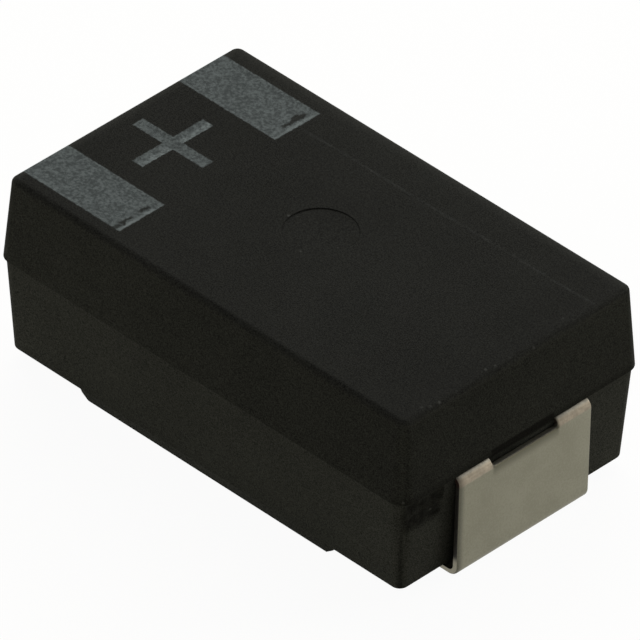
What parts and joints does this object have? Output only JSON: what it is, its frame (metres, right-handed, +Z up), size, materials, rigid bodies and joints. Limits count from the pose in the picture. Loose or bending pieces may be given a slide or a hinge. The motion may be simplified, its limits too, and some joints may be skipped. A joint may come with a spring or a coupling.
{
  "type": "aluminium polymer chip capacitor",
  "caption": "Moulded black chip capacitor with drafted mould halves, folded tinned terminals under both ends, laser polarity marks and stacked foil elements inside.",
  "frame": {"origin": "on the board, under the middle of the case", "axes": "+X along the length from the anode (+) end to the cathode end, +Z up from the board"},
  "size_m": [0.0074, 0.0042, 0.0028],
  "materials": {
    "case": "matte filled epoxy, with pale grey laser marks on the top",
    "terminal": "matte tin plating on copper alloy, warm grey, with coppery bends",
    "foil": "etched, matte",
    "resist": "amber polyimide",
    "coat": "conductive polymer, carbon and silver paint",
    "glue": "silver-filled glue"
  },
  "bodies": {
    "root": {"moulded_case": "case", "anode_terminal": "terminal", "cathode_terminal": "terminal", "anode_foil_1": "foil", "anode_foil_2": "foil", "anode_foil_3": "foil", "anode_foil_4": "foil", "anode_foil_5": "foil", "anode_foil_6": "foil", "resist_band_1": "resist", "resist_band_2": "resist", "resist_band_3": "resist", "resist_band_4": "resist", "resist_band_5": "resist", "resist_band_6": "resist", "cathode_coat_1": "coat", "cathode_coat_2": "coat", "cathode_coat_3": "coat", "cathode_coat_4": "coat", "cathode_coat_5": "coat", "cathode_coat_6": "coat", "silver_glue_1": "glue", "silver_glue_2": "glue", "silver_glue_3": "glue", "silver_glue_4": "glue", "silver_glue_5": "glue", "silver_glue_6": "glue"}
  },
  "joints": []
}
